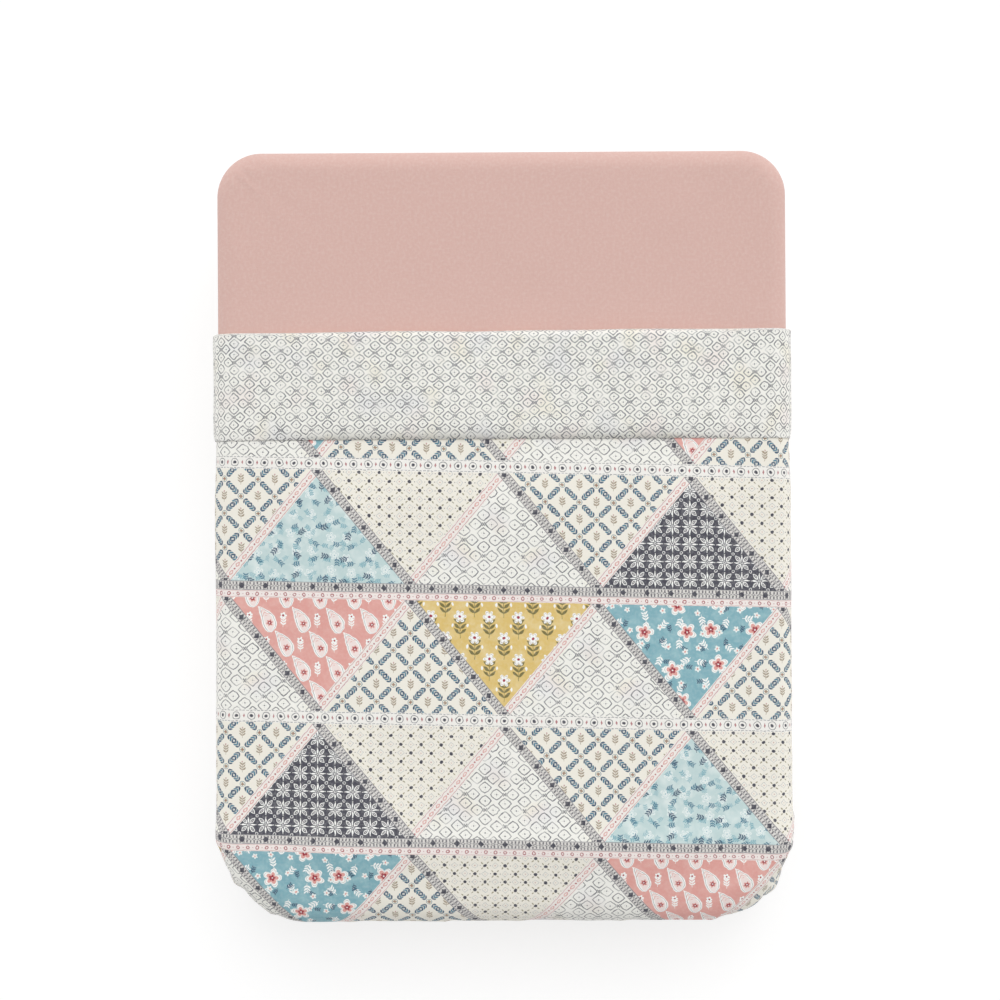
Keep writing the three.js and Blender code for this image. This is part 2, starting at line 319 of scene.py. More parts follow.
def both_faces(from_middle, from_foot):
    """Front and reverse of the filled cover at places on the flat cloth."""
    half = COVER / 2
    side_share, length_share = from_middle / half, from_foot / half - 1
    across = from_middle - side_share * DRAWN_IN * (1 - length_share**2)
    shrink = 1 - DRAWN_IN / COVER * (1 - side_share**2)
    to_side = half - np.abs(from_middle)
    to_rim = np.minimum(to_side, np.minimum(from_foot, COVER - from_foot))

    turned_back = from_foot >= FOLD_END
    before = np.maximum(FOLD_BEGIN - from_foot, 0)
    after = np.maximum(from_foot - FOLD_END, 0)
    along = FOLD_START - (before + after) * shrink + fold_ease(across, before + after)
    turn = math.pi * np.clip((from_foot - FOLD_BEGIN) / FOLD_LENGTH, 0, 1)
    covered = smooth(along, *COVERED_ZONE) * ~turned_back
    own = thickness(across, along, to_rim)
    own = own + relief(from_middle, from_foot, to_rim) * (1 - covered)

    # The turn-back goes the longer way over the bed's edge, so it hangs shorter than the layer below it
    middle = mix(MIDDLE_LOWER, MIDDLE_UPPER, 0.5 - 0.5 * np.cos(turn))
    hangs_shorter = QUARTER_TURN * (middle - MIDDLE_LOWER)
    lower = thickness(across, along, to_side + hangs_shorter)
    raised = np.where(turn > 0, lower - own, 0)
    over = lower + TURNBACK_GAP
    bend = 1 - np.cos(turn)
    front = np.where(turned_back, over, raised + own + FOLD_INSIDE * bend)
    reverse = np.where(turned_back, over + own, raised + (own + FOLD_INSIDE) * bend)
    return (
        drape(across, along + FOLD_INSIDE * np.sin(turn), front, middle),
        drape(across, along + (FOLD_INSIDE + own) * np.sin(turn), reverse, middle),
    )


# Mesh helpers


def lines(spans):
    """Values from 0 on. Each span has an end and a number of even steps."""
    values = [0.0]
    for end, steps in spans:
        values.extend(np.linspace(values[-1], end, steps + 1)[1:])
    return np.array(values)


def grid_mesh(name, columns, rows):
    """A flat mesh of quads with these columns along X and rows along Y."""
    across, along = np.meshgrid(columns, rows)
    points = np.stack([across.ravel(), along.ravel(), np.zeros(across.size)], axis=-1)
    first = np.arange(across.size).reshape(across.shape)[:-1, :-1].ravel()
    step = len(columns)
    quads = np.stack([first, first + 1, first + 1 + step, first + step], axis=-1)
    mesh = bpy.data.meshes.new(name)
    mesh.from_pydata(points.tolist(), [], quads.tolist())
    return mesh


def mesh_values(items, name, width=1, kind=np.int32):
    """One row of values for each point, corner or face."""
    values = np.empty(len(items) * width, dtype=kind)
    items.foreach_get(name, values)
    return values.reshape(-1, width) if width > 1 else values


def mesh_points(mesh):
    return mesh_values(mesh.vertices, "co", 3, float)


def add_uv(mesh, name, values):
    layer = mesh.uv_layers.new(name=name)
    layer.uv.foreach_set("vector", np.ascontiguousarray(values, dtype=np.float32).ravel())


def add_object(name, data):
    item = bpy.data.objects.new(name, data)
    bpy.context.collection.objects.link(item)
    return item


def add_piece(name, mesh):
    mesh.shade_smooth()
    mesh.update()
    return add_object(name, mesh)


# Printed and woven cloth


def rgb(code):
    """A colour written as red, green and blue in hexadecimal, as linear light."""
    parts = np.array([int(code[place:place + 2], 16) for place in (1, 3, 5)]) / 255
    light = np.where(parts <= 0.04045, parts / 12.92, ((parts + 0.055) / 1.055) ** 2.4)
    return [*light.tolist(), 1.0]


def set_inputs(node, values):
    for name, value in values.items():
        node.inputs[name].default_value = value


class Sum:
    """A number on a shader's wire. Each operation adds one Math node."""

    def __init__(self, tree, socket):
        self.tree = tree
        self.socket = socket

    def run(self, operation, *others, clamp=False):
        node = self.tree.nodes.new("ShaderNodeMath")
        node.operation = operation
        node.use_clamp = clamp
        for place, term in zip(node.inputs, (self, *others)):
            if isinstance(term, Sum):
                self.tree.links.new(term.socket, place)
            else:
                place.default_value = term
        return Sum(self.tree, node.outputs[0])

    __add__ = partialmethod(run, "ADD")
    __sub__ = partialmethod(run, "SUBTRACT")
    __mul__ = partialmethod(run, "MULTIPLY")
    __truediv__ = partialmethod(run, "DIVIDE")
    __abs__ = partialmethod(run, "ABSOLUTE")
    least = partialmethod(run, "MINIMUM")
    most = partialmethod(run, "MAXIMUM")

    def square(self):
        return self.run("MULTIPLY", self)

    def wrapped(self, step):
        return self.run("WRAP", step / 2, -step / 2)


def length(x, y):
    return (x.square() + y.square()).run("SQRT")


def petal(along, across, half_length, half_width):
    """A pointed leaf about the origin. Negative inside."""
    return (abs(across) / half_width + (along / half_length).square() - 1.0) * half_width


def diamond(x, y, half_width, half_height):
    return (abs(x) / half_width + abs(y) / half_height - 1.0) * min(half_width, half_height)


def soft_lozenge(x, y, half_width, half_height, bow=0.35):
    """A lozenge with bowed sides."""
    right, up = abs(x) / half_width, abs(y) / half_height
    return (right + up - right * up * bow - 1.0) * min(half_width, half_height)


def blossom(x, y, radius, petals, depth=0.45):
    """A round flower with this many petals."""
    lobes = abs((y.run("ARCTAN2", x) * (petals / 2)).run("COSINE"))
    return length(x, y) - (lobes * depth + (1 - depth)) * radius


def rotated(x, y, cos, sin):
    """The same place in turned axes."""
    return x * cos + y * sin, y * cos - x * sin


def turned(x, y, angle):
    return rotated(x, y, math.cos(angle), math.sin(angle))


def half_drop(x, y, width, height):
    """The place in the nearest cell of a half-drop repeat."""
    first = x.wrapped(width), y.wrapped(height)
    second = (x + width / 2).wrapped(width), (y + height / 2).wrapped(height)
    near = [abs(u) / width + abs(v) / height for u, v in (first, second)]
    use_first = near[0].run("LESS_THAN", near[1])
    return [other + (one - other) * use_first for one, other in zip(first, second)]


class Print:
    """One printed cotton: a ground colour, and motifs laid over it in the cloth's own measure."""

    EDGE = 0.0009
    WOBBLE = 0.0040
    WOBBLE_SIZES = (0.011, 0.013)
    SEED_SHIFT = (0.137, 0.071)
    SCATTER = 0.45
    BARE_COTTON = "#F6F5F0"
    SURFACE = {"Specular IOR Level": 0.25, "Sheen Weight": 0.08, "Sheen Roughness": 0.5}
    THREAD_STRETCHES = ((1.0, 0.25), (0.25, 1.0))
    THREAD_STRENGTH = 0.35

    def __init__(self, name, ground):
        self.material = bpy.data.materials.new(name)
        self.material.use_nodes = True
        self.tree = self.material.node_tree
        self.shader = self.tree.nodes["Principled BSDF"]
        place = self.node("ShaderNodeUVMap")
        place.uv_map = "print"
        parts = self.node("ShaderNodeSeparateXYZ")
        self.link(place.outputs[0], parts.inputs[0])
        self.place = place.outputs[0]
        self.x, self.y = (
            Sum(self.tree, socket) + (self.noise(size, 1.0) - 0.5) * self.WOBBLE
            for socket, size in zip(parts.outputs, self.WOBBLE_SIZES)
        )
        self.colour = rgb(ground)

    def node(self, kind):
        return self.tree.nodes.new(kind)

    def link(self, output, place):
        self.tree.links.new(output, place)

    def blend(self, share, code):
        """Lays a colour over what is there, by a share that is a Sum."""
        node = self.node("ShaderNodeMix")
        node.data_type = "RGBA"
        self.link(share.socket, node.inputs["Factor"])
        under, over = node.inputs[6], node.inputs[7]
        if isinstance(self.colour, list):
            under.default_value = self.colour
        else:
            self.link(self.colour, under)
        over.default_value = rgb(code)
        self.colour = node.outputs[2]

    def ink(self, shape, code, strength=1.0):
        """Prints a shape that is negative inside."""
        mask = shape.run("MULTIPLY_ADD", -1 / self.EDGE, 0.5, clamp=True)
        self.blend(mask if strength == 1.0 else mask * strength, code)

    def dot(self, x, y, radius, code, strength=1.0):
        self.ink(length(x, y) - radius, code, strength)

    def wash(self, size, code, strength=0.6):
        """Lays a colour on in soft uneven clouds."""
        self.blend(self.clouds(size, 0.45, 3.0) * strength, code)

    def noise(self, size, detail=2.0, stretch=(1.0, 1.0)):
        """Noise from 0 to 1 in the cloth's own measure."""
        spread = self.node("ShaderNodeVectorMath")
        spread.operation = "MULTIPLY"
        self.link(self.place, spread.inputs[0])
        spread.inputs[1].default_value = (stretch[0] / size, stretch[1] / size, 0.0)
        node = self.node("ShaderNodeTexNoise")
        node.noise_dimensions = "2D"
        set_inputs(node, {"Scale": 1.0, "Detail": detail})
        self.link(spread.outputs[0], node.inputs["Vector"])
        return Sum(self.tree, node.outputs[0])

    def clouds(self, size, start, contrast, detail=2.0, stretch=(1.0, 1.0)):
        """Soft patches from 0 to 1 where the noise is above this start."""
        return (self.noise(size, detail, stretch) - start).run("MULTIPLY", contrast, clamp=True)

    def scattered(self, cell, seed):
        """A place in a loose scatter of turned motifs, one in each cell."""
        x, y = (part + seed * shift for part, shift in zip((self.x, self.y), self.SEED_SHIFT))
        column, row = (x / cell).run("FLOOR"), (y / cell).run("FLOOR")
        both = self.node("ShaderNodeCombineXYZ")
        self.link(column.socket, both.inputs[0])
        self.link(row.socket, both.inputs[1])
        chance = self.node("ShaderNodeTexWhiteNoise")
        chance.noise_dimensions = "2D"
        self.link(both.outputs[0], chance.inputs["Vector"])
        parts = self.node("ShaderNodeSeparateColor")
        self.link(chance.outputs["Color"], parts.inputs[0])
        angle, right, up = (Sum(self.tree, socket) for socket in parts.outputs)
        x = x - (column + 0.5 + (right - 0.5) * self.SCATTER) * cell
        y = y - (row + 0.5 + (up - 0.5) * self.SCATTER) * cell
        angle = angle * FULL_TURN
        return rotated(x, y, angle.run("COSINE"), angle.run("SINE"))

    def cotton(self, roughness=0.82, thread=0.0025, depth=0.0004):
        """Links the colour, and adds the uneven ink, the threads and the soft sheen of cotton."""
        self.blend(self.clouds(0.008, 0.42, 0.30), self.BARE_COTTON)
        self.link(self.colour, self.shader.inputs["Base Color"])
        warp, weft = (self.noise(thread, 1.0, stretch) for stretch in self.THREAD_STRETCHES)
        raised = self.node("ShaderNodeBump")
        set_inputs(raised, {"Strength": self.THREAD_STRENGTH, "Distance": depth})
        self.link((warp + weft).socket, raised.inputs["Height"])
        self.link(raised.outputs[0], self.shader.inputs["Normal"])
        set_inputs(self.shader, {"Roughness": roughness, **self.SURFACE})
        return self.material


# The prints. All their sizes are metres on the cloth

DIAGONAL = 0.7071
OFF_WHITE = "#F5F4EE"
CREAM = "#F1EDE2"
LINE_GREY = "#6A6C72"
CHARCOAL = "#4E4E58"
PALE_BLUE = "#C3D8D8"
TEAL = "#84B2BD"
DEEP_TEAL = "#4A7C93"
NAVY = "#3A5670"
MUSTARD = "#DFC278"
OLIVE = "#7C7448"
TAN = "#A89A86"
PINK = "#E2A59D"
BLUSH = "#F3E3DF"
CRIMSON = "#A03040"
WHITE = "#FAFAF7"


def trellis(name, scale=1.25):
    """Groups of four lozenges with a dot in each, round a small cross, in a half-drop repeat."""
    cloth = Print(name, OFF_WHITE)
    for size, code in ((0.075, "#EFE6C8"), (0.090, "#F0DCDA"), (0.110, "#DFE0EA")):
        cloth.blend(cloth.clouds(size, 0.62, 4.0, 0.0) * 0.3, code)
    width, height = 0.0842 * scale, 0.0679 * scale
    x, y = (abs(part) for part in half_drop(cloth.x, cloth.y, width, height))
    reach_x, reach_y = 0.205 * width, 0.290 * height
    beside = (x / reach_x).run("GREATER_THAN", y / reach_y)
    u = abs(x - beside * reach_x)
    v = abs(y - (beside * -1.0 + 1.0) * reach_y)
    uneven = cloth.clouds(0.034, 0.08, 2.0)
    cloth.ink(abs(soft_lozenge(u, v, 0.158 * width, 0.174 * height)) - 0.0014, LINE_GREY, uneven)
    cloth.dot(u, v, 0.0018, LINE_GREY)
    cloth.dot(u.most(v) - 0.0052, u.least(v), 0.0009, LINE_GREY, 0.4)
    cross = (abs(x / reach_x - y / reach_y) * 0.012 - 0.0010).most(length(x, y) - 0.0062)
    cloth.ink(cross, LINE_GREY, 0.9)
    return cloth.cotton()


def petal_tiles(name, tile=0.047):
    """White petals round a dot, in square tiles."""
    cloth = Print(name, CHARCOAL)
    cloth.wash(0.030, "#5E5E68")
    x, y = abs(cloth.x.wrapped(tile)), abs(cloth.y.wrapped(tile))
    slant, off = (x + y) * DIAGONAL, (x - y) * DIAGONAL
    cloth.ink(petal(slant - 0.0150, off, 0.0105, 0.0050), WHITE)
    cloth.ink(petal(slant - 0.0155, off, 0.0072, 0.0030), CHARCOAL)
    cloth.ink(petal(slant - 0.0150, off, 0.0050, 0.0009), WHITE, 0.8)
    cloth.ink(petal(x.most(y) - 0.0120, x.least(y), 0.0082, 0.0021), WHITE)
    cloth.dot(x.most(y) - 0.0205, x.least(y), 0.0013, WHITE, 0.8)
    cloth.ink(abs(length(x - tile / 2, y - tile / 2) - 0.0034) - 0.0007, WHITE)
    cloth.ink(abs(length(x, y) - 0.0026) - 0.0007, WHITE)
    return cloth.cotton()


def sprig(cloth, x, y, leaf, code):
    """A stem with paired leaves, growing up the cloth."""
    side = abs(x)
    cloth.ink((side - 0.0007).most(abs(y + leaf * 0.3) - leaf * 2.3), code)
    for level in (-1.6, -0.4, 0.8):
        along, across = turned(side, y - leaf * level, math.radians(42))
        cloth.ink(petal(along - leaf, across, leaf, leaf * 0.34), code)


BLUE_TWIGS = (
    (0.040, 4, 0.0040, "#9CC1C8"),
    (0.046, 9, 0.0044, TEAL),
    (0.050, 2, 0.0048, DEEP_TEAL),
    (0.066, 3, 0.0054, NAVY),
)


def blue_leaves(name):
    """Small leafy twigs over faint blossoms, on a mottled pale blue."""
    cloth = Print(name, PALE_BLUE)
    cloth.wash(0.045, "#E4EEEC", 0.8)
    x, y = cloth.scattered(0.050, 1)
    cloth.ink(blossom(x, y, 0.0140, 5), "#EDF4F2", 0.75)
    cloth.ink(abs(blossom(x, y, 0.0096, 5)) - 0.0006, TEAL, 0.6)
    cloth.dot(x, y, 0.0018, TEAL, 0.8)
    for cell, seed, leaf, code in BLUE_TWIGS:
        sprig(cloth, *cloth.scattered(cell, seed), leaf, code)
    return cloth.cotton()


def teal_flowers(name):
    """Open five-petal flowers, buds and leafy twigs on a washed teal."""
    cloth = Print(name, TEAL)
    cloth.wash(0.030, "#A6CBD0")
    for cell, seed, leaf, code in ((0.058, 5, 0.0062, WHITE), (0.052, 6, 0.0044, NAVY)):
        sprig(cloth, *cloth.scattered(cell, seed), leaf, code)
    x, y = cloth.scattered(0.050, 8)
    cloth.ink(blossom(x, y, 0.0085, 5), "#EFF3F0")
    cloth.dot(x, y, 0.0026, PINK)
    x, y = cloth.scattered(0.098, 7)
    cloth.ink(blossom(x, y, 0.0265, 5), WHITE)
    cloth.ink(abs(blossom(x, y, 0.0225, 5)) - 0.0006, LINE_GREY, 0.6)
    cloth.ink(blossom(x, y, 0.0170, 5), PINK)
    cloth.ink(blossom(x, y, 0.0090, 5), CRIMSON)
    cloth.dot(x, y, 0.0020, WHITE)
    return cloth.cotton()


def mustard_sprigs(name):
    """White blossoms and buds on leafy stems, on a washed mustard."""
    cloth = Print(name, MUSTARD)
    cloth.wash(0.040, "#EAD7A4")
    x, y = half_drop(cloth.x, cloth.y, 0.078, 0.112)
    sprig(cloth, x, y + 0.006, 0.0110, OLIVE)
    flower = y - 0.023
    cloth.ink(blossom(x, flower, 0.0170, 6), WHITE)
    cloth.ink(abs(blossom(x, flower, 0.0132, 6)) - 0.0006, TAN)
    cloth.dot(x, flower, 0.0038, CRIMSON)
    cloth.ink(petal(y + 0.001, abs(x) - 0.0200, 0.0060, 0.0030), WHITE)
    return cloth.cotton()


def teardrop(x, y, half_length, half_wide, trim=0.0006):
    """A drop about the origin, round below and pointed above. Negative inside."""
    share = (y / half_length).most(-1.0).least(1.0)
    fullest = 1.0886
    half_width = (share + 1.0).run("SQRT") * (share * -1.0 + 1.0) * (half_wide / fullest)
    return abs(x) + trim - half_width


def pink_drops(name):
    """Curved white drops with a veined tip and a flowered bowl, and small flowers between, on pink."""
    cloth = Print(name, PINK)
    cloth.wash(0.040, "#E9B8B0")
    cell = 0.092, 0.130
    u, v = half_drop(cloth.x + cell[0] / 2, cloth.y, *cell)
    sprig(cloth, u, v + 0.008, 0.0058, WHITE)
    flower = v - 0.008
    cloth.ink(blossom(u, flower, 0.0090, 5), WHITE)
    cloth.dot(u, flower, 0.0026, CRIMSON)
    x, y = half_drop(cloth.x, cloth.y, *cell)
    x, y = turned(x, y, math.radians(20))
    x = x + (y + 0.012).square() * 6.0 - 0.004
    drop = teardrop(x, y, 0.039, 0.0205)
    cloth.ink(drop, WHITE)
    cloth.ink(abs(drop + 0.0038) - 0.0006, LINE_GREY, 0.8)
    cloth.ink(drop + 0.0075, BLUSH)
    veins = abs((y + abs(x) * 0.8).wrapped(0.0080)) - 0.0008
    cloth.ink(veins.most(drop + 0.0030).most(y * -1.0 + 0.006), PINK)
    bowl = y + 0.015
    cloth.ink(blossom(x, bowl, 0.0100, 6), PINK)
    cloth.ink(blossom(x, bowl, 0.0060, 6), CRIMSON)
    cloth.dot(x, bowl, 0.0017, WHITE)
    return cloth.cotton()


def leaf_lattice(name):
    """Leaf sprays along a slanting lattice, with a rosette at each crossing and a sprig in each cell."""
    cloth = Print(name, CREAM)
    cloth.x, cloth.y = cloth.x * 1.2, cloth.y * 1.2
    cell = 0.110
    x, y = half_drop(cloth.x, cloth.y, cell, cell)
    side, up = abs(x), abs(y)
    slant, off = (side + up) * DIAGONAL, abs(side - up) * DIAGONAL
    cloth.ink((off - 0.0006).most(abs(slant - 0.0270) - 0.0135), DEEP_TEAL, 0.8)
    for level, code in ((0.0130, NAVY), (0.0215, DEEP_TEAL), (0.0300, NAVY)):
        along, across = turned(slant - level, off, math.radians(40))
        cloth.ink(petal(along - 0.0072, across, 0.0072, 0.0027), code)
    cloth.ink(abs(length(x, y) - 0.0088) - 0.0007, DEEP_TEAL)
    cloth.ink(blossom(x, y, 0.0066, 4), TAN)
    cloth.dot(x, y, 0.0014, CRIMSON)
    u, v = half_drop(cloth.x + cell / 2, cloth.y, cell, cell)
    sprig(cloth, u, v, 0.0068, TAN)
    cloth.dot(u, v - 0.0160, 0.0022, CRIMSON, 0.7)
    return cloth.cotton()


def cream_dots(name):
    """Dark dots ringed with small ticks, on cream."""
    cloth = Print(name, CREAM)
    cell = 0.054, 0.046
    x, y = half_drop(cloth.x, cloth.y, *cell)
    cloth.dot(x, y, 0.0046, CHARCOAL)
    side, up = abs(x), abs(y)
    slant, off = turned(side, up, math.radians(45))
    cloth.ink(petal(slant - 0.0105, off, 0.0042, 0.0016), OLIVE, 0.8)
    cloth.dot(side - 0.0130, up, 0.0012, LINE_GREY)
    u, v = half_drop(cloth.x + cell[0] / 2, cloth.y, *cell)
    cloth.ink(abs(diamond(u, v, 0.0085, 0.0085)) - 0.0007, "#B7BCC0")
    cloth.dot(u, v, 0.0014, CRIMSON, 0.6)
    return cloth.cotton()


def grey_band(name):
    """A pale band with rows of grey ticks beside a chain of dark lozenges."""
    cloth = Print(name, "#DCD9D5")
    up = abs(cloth.y)
    ticks = (abs(cloth.x.wrapped(0.0092)) - 0.0018).most(abs(up - 0.0062) - 0.0034)
    cloth.ink(ticks, "#6E6C72")
    cloth.ink((up - 0.0106) * -1.0, "#8F8D91")
    cloth.ink(abs(diamond(cloth.x.wrapped(0.0160), cloth.y, 0.0060, 0.0026)) - 0.0008, CHARCOAL, 0.8)
    cloth.ink(diamond(cloth.x.wrapped(0.0640), cloth.y, 0.0086, 0.0086), CHARCOAL)
    return cloth.cotton()


def blush_band(name):
    """A pale band with small crimson rings between fine lines."""
    cloth = Print(name, "#F3EAE6")
    x = cloth.x.wrapped(0.0255)
    cloth.ink(abs(length(x, cloth.y) - 0.0038) - 0.0012, CRIMSON, 0.85)
    cloth.dot(abs(x) - 0.0127, cloth.y, 0.0013, "#C79AA0")
    cloth.ink(abs(abs(cloth.y) - 0.0078) - 0.0006, "#CFAAA8")
    return cloth.cotton()


def dotted_band(name):
    """A white band with ringed dots and dashes."""
    cloth = Print(name, "#F3F1EC")
    x = cloth.x.wrapped(0.040)
    cloth.ink(abs(length(x, cloth.y) - 0.0100) - 0.0008, LINE_GREY)
    cloth.dot(x, cloth.y, 0.0044, CHARCOAL)
    cloth.ink(diamond(abs(x) - 0.020, cloth.y, 0.0028, 0.0062), CRIMSON, 0.8)
    dashes = abs(cloth.x.wrapped(0.010)) - 0.0034
    cloth.ink((abs(abs(cloth.y) - 0.0145) - 0.0007).most(dashes), LINE_GREY)
    return cloth.cotton()


def blush_sash(name):
    """A whitish strip with pink petals and crimson dots between fine lines."""
    cloth = Print(name, "#F2ECE7")
    x = cloth.x.wrapped(0.0280)
    cloth.ink(petal(x, cloth.y, 0.0088, 0.0046), "#DDAAA5")
    cloth.ink(petal(x, cloth.y, 0.0050, 0.0020), "#F2ECE7")
    cloth.dot(abs(x) - 0.0140, cloth.y, 0.0024, CRIMSON, 0.85)
    cloth.ink(abs(abs(cloth.y) - 0.0096) - 0.0008, "#C79A9B")
    return cloth.cotton()


# The patchwork's layout, in the cloth's flat measure

COURSE_PITCH = 0.338
FIRST_BAND = 0.103
BAND_HEIGHTS = (0.034, 0.044)
GREY_SHARE = 0.56
TRIANGLE_BASE = 0.500
HALF_BASE = TRIANGLE_BASE / 2
SASH_HALF_WIDTH = 0.0125
SIDE_TRIANGLES = 3
STANDING_CENTRE = 0.4
HANGING_CENTRE = 0.6
PRINT_SKEW = 0.025
CUT_MERGE = 2e-4
FABRICS = {
    "trellis": trellis,
    "tiles": petal_tiles,
    "blue": blue_leaves,
    "teal": teal_flowers,
    "mustard": mustard_sprigs,
    "pink": pink_drops,
    "lattice": leaf_lattice,
    "dots": cream_dots,
    "grey_band": grey_band,
    "blush_band": blush_band,
    "dotted_band": dotted_band,
    "blush_sash": blush_sash,
}
# Courses take turns. Each repeats its fabrics to the right, and each pair of courses starts further on
COURSES = (
    {
        "standing": ("trellis", "lattice", "trellis", "lattice"),
        "hanging": ("dots", "pink", "mustard", "teal"),
    },
    {
        "standing": ("blue", "trellis", "tiles", "trellis"),
        "hanging": ("lattice", "dots", "lattice", "dots"),
    },
)
REPEAT = 4
COURSE_STEP = 2
COURSE_COUNT = int((COVER - FIRST_BAND) / COURSE_PITCH) + 2


def band_of(course):
    """The lower and upper edge of the band below a course."""
    centre = FIRST_BAND + COURSE_PITCH * course
    half = BAND_HEIGHTS[course % 2] / 2
    return centre - half, centre + half


def cut_along(edit, geometry, point, normal):
    """Cuts this part of the flat mesh along a line, and returns it as it then is."""
    plane = {"plane_co": (*point, 0), "plane_no": (*normal, 0)}
    return bmesh.ops.bisect_plane(edit, geom=geometry, dist=CUT_MERGE, **plane)["geom"]


def between(edit, low, high):
    """The flat mesh between two levels, as a list of its corners, edges and faces."""
    faces = [face for face in edit.faces if low < face.calc_center_median().y < high]
    edges = {edge for face in faces for edge in face.edges}
    corners = {corner for face in faces for corner in face.verts}
    return [*corners, *edges, *faces]


def cut_patches(mesh):
    """Cuts the flat front along every edge of the patchwork."""
    edit = bmesh.new()
    edit.from_mesh(mesh)
    for course in range(COURSE_COUNT):
        low, high = band_of(course)
        levels = (low, mix(low, high, 1 - GREY_SHARE), high) if course % 2 else (low, high)
        near = between(edit, low - COURSE_PITCH / 2, high + COURSE_PITCH / 2)
        for level in levels:
            near = cut_along(edit, near, (0, level), (0, 1))
    for course in range(-1, COURSE_COUNT):
        bottom, top = band_of(course)[1], band_of(course + 1)[0]
        rise = top - bottom
        across = SASH_HALF_WIDTH * math.hypot(rise, HALF_BASE) / rise
        feet = np.arange(-SIDE_TRIANGLES, SIDE_TRIANGLES + 1) * TRIANGLE_BASE + HALF_BASE * (course % 2)
        inside = between(edit, bottom, top)
        for foot in feet:
            for lean in (1, -1):
                for edge in (across, -across):
                    inside = cut_along(edit, inside, (foot + edge, bottom), (rise, -lean * HALF_BASE))
    edit.to_mesh(mesh)
    edit.free()


def patch_of(across, along):
    """The fabric at each place, and the origin and angle of its own measure."""
    fabric = np.zeros(len(across), dtype=int)
    origin = np.zeros((len(across), 2))
    angle = np.zeros(len(across))

    def lay(where, name, origin_x, origin_y, turn=0.0):
        fabric[where] = list(FABRICS).index(name)
        origin[where, 0] = np.broadcast_to(origin_x, across.shape)[where]
        origin[where, 1] = origin_y
        angle[where] = turn

    for course in range(-1, COURSE_COUNT):
        bottom, top = band_of(course)[1], band_of(course + 1)[0]
        inside = (along > bottom) & (along < top)
        rise = top - bottom
        slope = math.atan2(rise, HALF_BASE)
        share = (along - bottom) / rise
        shift = HALF_BASE * (course % 2)
        place = (across - shift) / TRIANGLE_BASE
        cell, part = np.floor(place), place - np.floor(place)
        stands = (part > share / 2) & (part < 1 - share / 2)
        nearest = np.round(place)
        sets = COURSES[course % 2]
        step = COURSE_STEP * (course // 2)
        for index in range(REPEAT):
            standing = inside & stands & ((cell + step) % REPEAT == index)
            centre = (cell + 0.5) * TRIANGLE_BASE + shift
            lay(standing, sets["standing"][index], centre, bottom + rise * STANDING_CENTRE)
            hanging = inside & ~stands & ((nearest + step) % REPEAT == index)
            centre = nearest * TRIANGLE_BASE + shift
            lay(hanging, sets["hanging"][index], centre, bottom + rise * HANGING_CENTRE)
        for lean, name, line in ((1, "blush_sash", share / 2), (-1, "grey_band", 1 - share / 2)):
            off = (part - line + 0.5) % 1 - 0.5
            on_sash = np.abs(off) * TRIANGLE_BASE * math.sin(slope) < SASH_HALF_WIDTH
            foot = across - off * TRIANGLE_BASE - lean * share * HALF_BASE
            lay(inside & on_sash, name, foot, bottom, lean * slope)

        low, high = band_of(course)
        on_band = (along >= low) & (along <= high)
        if course % 2:
            parting = mix(low, high, 1 - GREY_SHARE)
            lay(on_band & (along > parting), "grey_band", 0.0, (parting + high) / 2)
            lay(on_band & (along <= parting), "blush_band", 0.0, (low + parting) / 2)
        else:
            lay(on_band, "dotted_band", 0.0, (low + high) / 2)
    return fabric, origin, angle


# The pieces


def cover_lines():
    """Columns and rows for a panel: close on the rolls, the fold and the rim."""
    right = lines([
        (FLAT_CENTRE_X, 54),
        (FLAT_HALF_WIDTH, 15),
        (FLAT_HALF_WIDTH + QUARTER_TURN * (ROLL_SIDE + MIDDLE_LOWER), 14),
        (COVER / 2 - RIM_TAPER, 16),
        (COVER / 2 - SEAM_ZONE, 7),
        (COVER / 2, 3),
    ])
    along = lines([
        (SEAM_ZONE, 3),
        (RIM_TAPER, 7),
        (FOLD_BEGIN, 168),
        (FOLD_END, 16),
        (COVER - RIM_TAPER, 18),
        (COVER - SEAM_ZONE, 7),
        (COVER, 3),
    ])
    return np.concatenate([-right[:0:-1], right]), along


def bake_uv(flat):
    """The whole panel laid out once in the unit square."""
    return np.stack([flat[:, 0] / COVER + 0.5, flat[:, 1] / COVER], axis=-1)


def make_front():
    mesh = grid_mesh("front_panel", *cover_lines())
    laid = mesh_points(mesh)
    laid[:, 1] += PRINT_SKEW * laid[:, 0]
    mesh.vertices.foreach_set("co", laid.ravel())
    cut_patches(mesh)
    printed = mesh_points(mesh)[:, :2]
    flat = np.stack([printed[:, 0], printed[:, 1] - PRINT_SKEW * printed[:, 0]], axis=-1)
    corners = mesh_values(mesh.loops, "vertex_index")
    sides = mesh_values(mesh.polygons, "loop_total")
    centres = mesh_values(mesh.polygons, "center", 3, float)
    fabric, origin, angle = patch_of(centres[:, 0], centres[:, 1])

    right, up = (printed[corners] - np.repeat(origin, sides, axis=0)).T
    turn = np.repeat(angle, sides)
    add_uv(mesh, "print", np.stack(rotated(right, up, np.cos(turn), np.sin(turn)), axis=-1))
    add_uv(mesh, "OFBake", bake_uv(flat)[corners])

    for name, make in FABRICS.items():
        mesh.materials.append(make("printed_" + name))
    mesh.polygons.foreach_set("material_index", fabric.astype(np.int32))
    front, _ = both_faces(flat[:, 0], flat[:, 1])
    mesh.vertices.foreach_set("co", front.ravel())
    return add_piece("front_panel", mesh)


